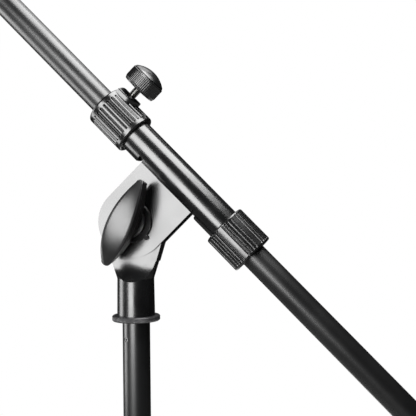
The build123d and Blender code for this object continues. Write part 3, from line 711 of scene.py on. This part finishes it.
def pad_mesh():
    """The pad: straight sides towards the microphone, round towards the tail, a soft top edge."""
    made = bmesh.new()
    steps = 28
    plan = [Vector((pad_end, -pad_reach)), Vector((0, -pad_reach))]
    plan += [pad_reach * Vector((sin(a), -cos(a))) for a in (pi * k / steps for k in range(1, steps))]
    plan += [Vector((0, pad_reach)), Vector((pad_end, pad_reach))]
    plan = [plan[-1].lerp(plan[0], k / 8) for k in range(1, 8)] + plan
    centre = Vector((pad_end / 2, 0))

    def level(inset, drop):
        """One ring of the pad's rounded top edge, under the collar's outer curve."""
        ring = []
        for p in plan:
            q = p + (centre - p).normalized() * inset
            roof = sqrt(pad_top ** 2 - q.y ** 2)
            ring.append(made.verts.new((q.x, q.y, roof - drop)))
        return ring

    rings = [[made.verts.new((p.x, p.y, pad_floor)) for p in plan]]
    for step in range(6):
        swing = pi / 2 * step / 5
        rings.append(level(pad_edge * (1 - cos(swing)), pad_edge * (1 - sin(swing))))
    hole = []
    for p in plan:
        away = Vector((p.x, p.y)).normalized() * insert_outer
        hole.append(made.verts.new((away.x, away.y, sqrt(pad_top ** 2 - away.y ** 2))))
    rings.append(hole)
    rings.append([made.verts.new((v.co.x, v.co.y, pad_floor)) for v in hole])
    rings.append(rings[0])
    for one, two in zip(rings, rings[1:]):
        for i in range(len(plan)):
            j = (i + 1) % len(plan)
            made.faces.new((one[i], one[j], two[j], two[i]))
    return made


piece_from(pad_mesh(), "rear_collar_pad", thumb_place, collar_plastic, "clamp")

# ---- Thumb screw and knob --------------------------------------------------------------------
# A plated steel screw with a rolled thread, and a round knob moulded on its head: fine straight
# ribs round the side, a smooth bead above them, and a low dome.

low, high, reach = measured(thumb_place, "thumb_screw")
thread_pitch = 1.1 * mm
thread_depth = 0.45 * mm


def threaded(pitch, depth, start, end, outer):
    """A press for turned(): a V thread between two heights, running out at both ends."""
    def press(r, z, angle):
        if r < outer - 0.02 * mm or not start <= z <= end:
            return r
        flank = abs((z / pitch - angle / (2 * pi)) % 1 - 0.5) * 2
        run_out = smooth(z, start, start + pitch) * (1 - smooth(z, end - pitch / 2, end))
        return r - depth * run_out * smooth(flank, 0.1, 0.95)
    return press


def bolt_outline(outer, low, high, point):
    """A plain rod with a bevelled point, in steps fine enough for its thread."""
    return filled([(0, low), (outer - point, low), (outer, low + point), (outer, high), (0, high)],
                  thread_pitch / 6)


plated = finish("zinc plate", (0.3, 0.3, 0.29), 0.24, 4500, 0.003 * mm, metallic=1.0,
                worn_and_highlight=(0.5, 0.5, 0.5), uneven=0.12, specular=0.5, lighter=1.2)
knob_low = measured(thumb_place, "thumb_knob")[0]
made = turned(bolt_outline(reach, low, high, 0.6 * mm), 48,
              threaded(thread_pitch, thread_depth, low, knob_low, reach))
piece_from(made, "thumb_screw_threaded", thumb_place, plated, "thumb",
           ["thumb_screw"], sharp=60)

low, high, knob_reach = measured(thumb_place, "thumb_knob")
dome = 4.5 * mm
side_top = high - dome
knob_ribs = 60
rib_depth = 0.16 * mm
dome_rim = knob_reach - 0.8 * mm
dome_ball = (dome_rim ** 2 + dome ** 2) / (2 * dome)
dome_steps = 12
domed = [(r, high - dome_ball + sqrt(dome_ball ** 2 - r ** 2), 0)
         for r in (dome_rim * k / dome_steps for k in range(dome_steps, -1, -1))]
foot_dish = 0.6 * mm
foot_lip = 1.6 * mm
foot_inset = 0.9 * mm
foot_height = 2.4 * mm
bead_groove = 0.5 * mm
rib_top = side_top - 1.4 * mm
groove_low = side_top - 1.1 * mm
groove_high = side_top - 0.8 * mm
screw_hold = 6 * mm
outline = softened([(reach, low + foot_dish, 0), (reach + foot_lip, low, 0.3 * mm),
                    (knob_reach - foot_inset, low, 0.6 * mm), (knob_reach, low + foot_height, 1 * mm),
                    (knob_reach, rib_top, 0.25 * mm), (knob_reach - bead_groove, groove_low, 0.1 * mm),
                    (knob_reach - bead_groove, groove_high, 0.1 * mm), (knob_reach, side_top, 0.8 * mm)]
                   + domed + [(0, low + screw_hold, 0), (reach, low + screw_hold, 0)], 5)


def knob_ribbed(r, z, angle):
    """Fine straight ribs, sharp-crested, up to just below the bead."""
    if r < knob_reach - 1.6 * mm or z > side_top - 1.3 * mm:
        return r
    foot = smooth(z, low + 0.4 * mm, low + 1.8 * mm)
    head = 1 - smooth(z, side_top - 2.2 * mm, side_top - 1.5 * mm)
    crest = abs((angle * knob_ribs / (2 * pi)) % 1 - 0.5) * 2
    return r - rib_depth * (foot * head) * smooth(crest, 0.45, 0.95)


knob_black = finish("black knob plastic", (0.004, 0.0041, 0.0043), 0.25, 2400, 0.002 * mm,
                    worn_and_highlight=(0.02, 0.02, 0.02), wear_and_highlight_width=0.2 * mm, wear_and_highlight=0.1, blotches=110)
piece_from(turned(filled(outline, 0.5 * mm), 10 * knob_ribs, knob_ribbed), "thumb_knob_ribbed",
           thumb_place, knob_black, "thumb", ["thumb_knob"])

# ---- Twist collar ----------------------------------------------------------------------------
# A moulded collar that turns on the sleeve's tail end and closes the collet. Eight broad lands
# alternate with groups of three narrow ribs, cut between two softened rims.

low, high, reach = measured(boom_place, "twist_collar")
groups = 8
land_phase = radians(7.8)
land = radians(13.0)
cut = radians(4.4)
rib = (2 * pi / groups - land - 4 * cut) / 3
twist_rim = 1.9 * mm
twist_depth = 0.6 * mm
twist_edge = 1.3 * mm
collet_wall = 4 * mm
around = 960


def twist_ribbed(r, z, angle):
    """Cuts on both sides of each narrow rib, and none across the broad lands."""
    if r < reach - 0.4 * mm:
        return r
    along = (angle - land_phase + land / 2) % (2 * pi / groups)
    inside = (along - land) % (cut + rib) if along > land else -1
    across = (inside - cut / 2) * reach if inside >= 0 else land * reach
    beyond = max(0.0, low + twist_rim - z, z - high + twist_rim)
    return r - twist_depth * notch(across, beyond, cut * reach / 2)


outline = softened([(sleeve_reach + turning_fit, low, 0.3 * mm), (reach, low, twist_edge),
                    (reach, high, twist_edge), (boom_reach + boom_gap, high, 0.4 * mm),
                    (boom_reach + boom_gap, high - collet_wall, 0),
                    (sleeve_reach + turning_fit, high - collet_wall, 0)], 6)
piece_from(turned(filled(outline, 0.4 * mm), around, twist_ribbed), "twist_collar_ribbed", boom_place,
           collar_plastic, "twist", ["twist_collar"], sharp=60)

# ---- Boom ------------------------------------------------------------------------------------
# The boom is a painted steel tube with a rubber cap on its tail. A turned plug in its other end
# carries the steel thread that the microphone clip screws on.

boom_paint = finish("satin black boom paint", (0.004, 0.0041, 0.0044), 0.36, 1700, 0.003 * mm,
                    worn_and_highlight=(0.1, 0.1, 0.1), wear_and_highlight_width=0.3 * mm, blotches=25, uneven=0.05)
dress(boom_paint, "boom_tube", "tip_fitting")
dress(rubber, "boom_end_cap")
low, high, reach = measured(boom_place, "mic_thread")
flange = measured(boom_place, "tip_fitting")[0]
mic_pitch = 1.5875 * mm
mic_depth = 0.9 * mm
mic_point = 0.8 * mm
shank = 4.2 * mm
outline = filled([(0, low), (reach - mic_point, low), (reach, low + mic_point), (reach, flange),
                  (shank, flange), (shank, high), (0, high)], mic_pitch / 6)
piece_from(turned(outline, 64, threaded(mic_pitch, mic_depth, low, flange, reach)), "microphone_thread_cut",
           boom_place, bright_steel, "boom", ["mic_thread"], sharp=60)

# ---- Studio ----------------------------------------------------------------------------------
# A round pale floor, three soft boxes about the pivot, one behind and one overhead, and a camera
# at the height of the boom's pivot. What the camera sees past the floor is plain white.

floor_reach = 2.8
made = bmesh.new()
bmesh.ops.create_circle(made, cap_ends=True, segments=128, radius=floor_reach)
mesh = bpy.data.meshes.new("studio_floor")
made.to_mesh(mesh)
made.free()
floor = bpy.data.objects.new("studio_floor", mesh)
bpy.context.scene.collection.objects.link(floor)
floor_paint = finish("pale floor", (0.78, 0.78, 0.77), 0.6, 400, 0.1 * mm, wear_and_highlight=0.0, dust=0.0,
                     lighter=1.04, specular=0.5)
mesh.materials.append(floor_paint)
floor_gap = 0.5 * mm
floor.location.z = cad_box[0][2] - floor_gap


def soft_box(name, centre, aim, width, height, radiance, along=(0, 0, 1)):
    """A rectangular area light of even brightness, its height along the given direction."""
    lamp = bpy.data.lights.new(name, "AREA")
    lamp.shape = "RECTANGLE"
    lamp.size = width
    lamp.size_y = height
    lamp.energy = radiance * pi * width * height
    box = bpy.data.objects.new(name, lamp)
    bpy.context.scene.collection.objects.link(box)
    z = (centre - aim).normalized()
    y = Vector(along)
    y = (y - y.dot(z) * z).normalized()
    box.matrix_world = Matrix.Translation(centre) @ Matrix((y.cross(z), y, z)).transposed().to_4x4()
    box.visible_camera = False


up_the_boom = pivot + Vector((-0.05, 0, 0.08))
stand_middle = Vector((0, 0, 0.4))
soft_box("front_box", pivot + Vector((-0.168, -0.596, 0.04)), pivot, 0.33, 0.50, 9.3)
soft_box("left_box", pivot + Vector((-0.52, -0.04, 0)), pivot, 0.24, 0.54, 5)
soft_box("top_box", pivot + Vector((0.18, -0.06, 0.51)), up_the_boom, 0.4, 0.4, 9, along=boom_way)
soft_box("back_box", pivot + Vector((-0.1, 1.5, -0.9)), pivot, 0.5, 0.5, 2)
soft_box("high_box", Vector((0, 0.9, 3.0)), stand_middle, 1.6, 1.6, 2)

world = bpy.data.worlds.new("studio")
bpy.context.scene.world = world
world.use_nodes = True
sky = world.node_tree
sky.nodes.clear()
seen = node(sky, "LightPath").outputs["Is Camera Ray"]
white = node(sky, "Background", {"Color": (1, 1, 1, 1), "Strength": 1.0})
fill_light = 0.016
dim = node(sky, "Background", {"Color": (1, 1, 1, 1), "Strength": fill_light})
mixed = node(sky, "MixShader", {0: seen, 1: dim.outputs[0], 2: white.outputs[0]})
sky.links.new(mixed.outputs[0], node(sky, "OutputWorld").inputs["Surface"])
bpy.context.scene.view_settings.view_transform = "Standard"

heading = radians(10.268)
pitch = radians(-0.105)
roll = radians(-0.594)
camera_offset = Vector((0.14465, -0.50024, 0.0104))
camera_data = bpy.data.cameras.new("camera")
camera_data.lens = 61.45
camera_data.sensor_width = 36
camera_data.clip_start = 0.01
camera = bpy.data.objects.new("camera", camera_data)
bpy.context.scene.collection.objects.link(camera)
ahead = Vector((-sin(heading) * cos(pitch), cos(heading) * cos(pitch), sin(pitch)))
right = Vector((cos(heading), sin(heading), 0))
upright = right.cross(ahead)
camera_x = right * cos(roll) + upright * sin(roll)
camera_y = upright * cos(roll) - right * sin(roll)
camera_turn = Matrix((camera_x, camera_y, -ahead)).transposed().to_4x4()
camera.matrix_world = Matrix.Translation(pivot + camera_offset) @ camera_turn
bpy.context.scene.camera = camera
